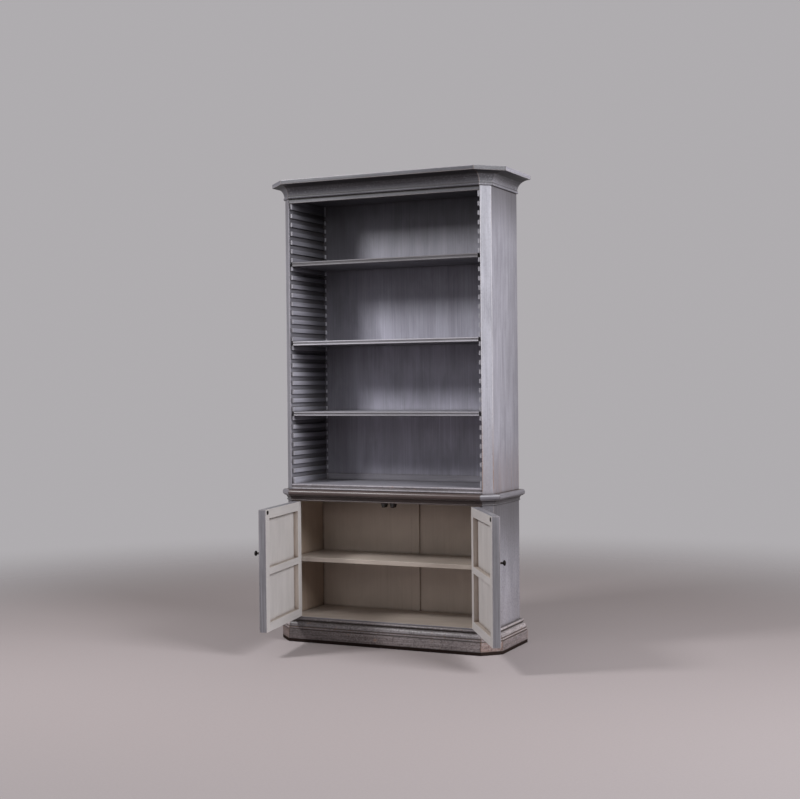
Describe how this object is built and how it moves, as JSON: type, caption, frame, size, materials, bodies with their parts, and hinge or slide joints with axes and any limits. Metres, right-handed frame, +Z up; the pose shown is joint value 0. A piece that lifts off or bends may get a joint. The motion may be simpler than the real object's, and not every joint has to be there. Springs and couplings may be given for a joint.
{
  "type": "bookcase with cabinet doors",
  "caption": "Tall two-part bookcase: open upper case with shelves sliding in slotted side racks, over a cabinet with a pair of panelled doors and an inner shelf.",
  "frame": {"origin": "on the floor under the middle of the case, at the underside of the plinth's cross rail; the case is 1165 mm wide and 400 mm deep about it", "axes": "+Z up, +X to the bookcase's right as seen from the front, -Y towards the front"},
  "size_m": [1.4786, 0.9189, 2.4],
  "materials": {
    "grey_paint": "rubbed blue-grey paint with vertical brush marks, brown wood showing at worn edges",
    "dark_grey_paint": "darker grey paint in the waist mouldings, lighter where the nose is rubbed",
    "cream_paint": "smooth cream paint inside the cabinet",
    "door_paint": "cream paint on the inner face, rubbed grey paint on the edges and the outer face",
    "bare_wood": "unpainted softwood under the cabinet",
    "black_metal": "blackened metal with a low sheen",
    "aged_steel": "aged steel, slightly rubbed"
  },
  "bodies": {
    "case": {"cornice_front": "grey_paint", "cornice_left": "grey_paint", "cornice_right": "grey_paint", "upper_post_left": "grey_paint", "upper_post_right": "grey_paint", "upper_side_left": "grey_paint", "upper_side_right": "grey_paint", "upper_top_board": "grey_paint", "frieze_rail": "grey_paint", "upper_bottom_board": "grey_paint", "upper_back_panel": "grey_paint", "upper_back_batten": "grey_paint", "shelf_rack_left": "grey_paint", "shelf_rack_right": "grey_paint", "cabinet_top": "dark_grey_paint", "waist_cove": "dark_grey_paint", "lower_post_left": "grey_paint", "lower_post_right": "grey_paint", "lower_side_left": "grey_paint", "lower_side_right": "grey_paint", "lower_top_rail": "cream_paint", "lower_bottom_board": "cream_paint", "cabinet_shelf": "cream_paint", "cabinet_shelf_cleat": "cream_paint", "lower_back_panel": "cream_paint", "lower_back_muntin": "cream_paint", "base_moulding": "grey_paint", "plinth": "grey_paint", "plinth_back_rail": "bare_wood", "plinth_cross_rail": "bare_wood", "door_catch": "black_metal", "post_hinge_leaf_left_lower": "aged_steel", "post_hinge_leaf_left_upper": "aged_steel", "post_hinge_leaf_right_lower": "aged_steel", "post_hinge_leaf_right_upper": "aged_steel"},
    "left_door": {"door_left_hinge_stile": "door_paint", "door_left_meeting_stile": "door_paint", "door_left_bottom_rail": "door_paint", "door_left_middle_rail": "door_paint", "door_left_top_rail": "door_paint", "door_left_lower_panel": "door_paint", "door_left_upper_panel": "door_paint", "door_left_knob": "black_metal", "door_left_strike": "black_metal", "door_left_hinge_leaf_lower": "aged_steel", "door_left_hinge_leaf_upper": "aged_steel"},
    "right_door": {"door_right_hinge_stile": "door_paint", "door_right_meeting_stile": "door_paint", "door_right_bottom_rail": "door_paint", "door_right_middle_rail": "door_paint", "door_right_top_rail": "door_paint", "door_right_lower_panel": "door_paint", "door_right_upper_panel": "door_paint", "door_right_knob": "black_metal", "door_right_strike": "black_metal", "door_right_hinge_leaf_lower": "aged_steel", "door_right_hinge_leaf_upper": "aged_steel"},
    "top_shelf": {"shelf_top": "grey_paint"},
    "middle_shelf": {"shelf_middle": "grey_paint"},
    "low_shelf": {"shelf_low": "grey_paint"}
  },
  "joints": [
    {"name": "left_door_hinge", "type": "hinge", "parent": "case", "child": "left_door", "pos_m": [-0.52475, -0.2043, 0.4265], "axis": [0, 0, -1], "range_deg": [-80, 50]},
    {"name": "right_door_hinge", "type": "hinge", "parent": "case", "child": "right_door", "pos_m": [0.52475, -0.2043, 0.4265], "axis": [0, 0, 1], "range_deg": [-122.5, 7.5]},
    {"name": "top_shelf_slide", "type": "slide", "parent": "case", "child": "top_shelf", "axis": [0, -1, 0], "range_m": [0, 0.3]},
    {"name": "middle_shelf_slide", "type": "slide", "parent": "case", "child": "middle_shelf", "axis": [0, -1, 0], "range_m": [0, 0.3]},
    {"name": "low_shelf_slide", "type": "slide", "parent": "case", "child": "low_shelf", "axis": [0, -1, 0], "range_m": [0, 0.3]}
  ]
}
